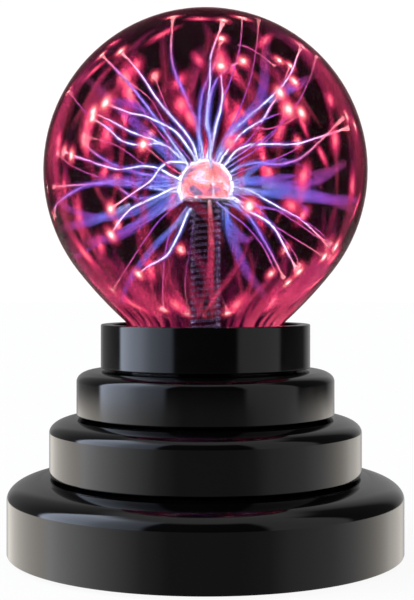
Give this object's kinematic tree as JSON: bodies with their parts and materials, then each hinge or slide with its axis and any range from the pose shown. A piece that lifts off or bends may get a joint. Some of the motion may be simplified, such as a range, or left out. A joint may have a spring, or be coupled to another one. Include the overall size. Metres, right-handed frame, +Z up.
{
  "type": "plasma ball",
  "caption": "Small desk plasma ball: a round glass globe with a glowing ball electrode on a stem, held in the collar of a stepped gloss-black round base.",
  "frame": {"origin": "centre of the round base on the surface it stands on, level with the undersides of the rubber feet", "axes": "+Z up through the stem and the globe's pole, -Y towards the front, +Y towards the switch and the power socket"},
  "size_m": [0.0968, 0.0968, 0.1338],
  "materials": {
    "gloss_black_plastic": "injection-moulded in a polished tool, mirror gloss",
    "satin_black_plastic": "moulded in a spark-eroded tool, fine satin grain",
    "rocker_plastic": "moulded, semi-gloss",
    "globe_glass": "blown glass, smooth, dark from the black interior",
    "electrode_glass": "drawn and blown glass, smooth",
    "glow_lining": "packed fine metal wool, lit by the discharge",
    "spring_steel": "drawn wire, bright",
    "insulator_sleeve": "extruded sleeve, matt",
    "black_rubber": "moulded, matt",
    "board_laminate": "glass-epoxy laminate with green resist",
    "ferrite": "sintered and ground, dull",
    "copper_winding": "enamelled copper wire, layer wound",
    "aluminium_plate": "rolled plate, folded",
    "epoxy_package": "transfer-moulded epoxy, matt",
    "capacitor_sleeve": "shrunk film sleeve over an aluminium can",
    "film_capacitor_dip": "dipped epoxy coating",
    "cell_sleeve": "printed film over a steel can, plain with no print",
    "nickel_contact": "nickel-plated spring strip and wire",
    "zinc_steel": "zinc-plated, dull bright",
    "red_wire": "extruded insulation",
    "black_wire": "extruded insulation",
    "white_wire": "extruded high-voltage insulation"
  },
  "bodies": {
    "base": {"base_shell": "gloss_black_plastic", "battery_lead_negative": "black_wire", "battery_lead_positive": "red_wire", "board_screw_1": "zinc_steel", "board_screw_2": "zinc_steel", "bottom_cover": "satin_black_plastic", "cell_1": "cell_sleeve", "cell_2": "cell_sleeve", "cell_3": "cell_sleeve", "cell_4": "cell_sleeve", "circuit_board": "board_laminate", "collar": "gloss_black_plastic", "contact_plate_bridge_1_2": "nickel_contact", "contact_plate_bridge_2_3": "nickel_contact", "contact_plate_bridge_3_4": "nickel_contact", "contact_plate_negative": "nickel_contact", "contact_plate_positive": "nickel_contact", "contact_spring_1": "nickel_contact", "contact_spring_2": "nickel_contact", "contact_spring_3": "nickel_contact", "contact_spring_4": "nickel_contact", "cover_screw_1": "zinc_steel", "cover_screw_2": "zinc_steel", "cover_screw_3": "zinc_steel", "cover_screw_4": "zinc_steel", "dc_socket": "satin_black_plastic", "dc_socket_pin": "nickel_contact", "electrode_glass": "electrode_glass", "electrode_lining": "glow_lining", "film_capacitor": "film_capacitor_dip", "foot_front_left": "black_rubber", "foot_front_right": "black_rubber", "foot_rear_left": "black_rubber", "foot_rear_right": "black_rubber", "globe_glass": "globe_glass", "heat_sink": "aluminium_plate", "high_voltage_lead": "white_wire", "neck_gasket": "black_rubber", "power_transistor": "epoxy_package", "rocker_pivot_pin": "zinc_steel", "smoothing_capacitor": "capacitor_sleeve", "socket_lead": "black_wire", "stem_insulator": "insulator_sleeve", "stem_spring": "spring_steel", "switch_body": "satin_black_plastic", "switch_lead": "red_wire", "switch_terminal_1": "nickel_contact", "switch_terminal_2": "nickel_contact", "tier_three_ring": "gloss_black_plastic", "tier_two_ring": "gloss_black_plastic", "transformer_core": "ferrite", "transformer_winding": "copper_winding"},
    "door": {"battery_door": "satin_black_plastic", "door_screw": "zinc_steel"},
    "rocker": {"power_rocker": "rocker_plastic"}
  },
  "joints": [
    {"name": "battery_door", "type": "hinge", "parent": "base", "child": "door", "pos_m": [0, -0.02215, 0.001], "axis": [-1, 0, 0], "range_deg": [0, 70]},
    {"name": "power_rocker", "type": "hinge", "parent": "base", "child": "rocker", "pos_m": [-0.008, 0.0434, 0.0078], "axis": [0, 0, 1], "range_deg": [-22, 0]}
  ]
}
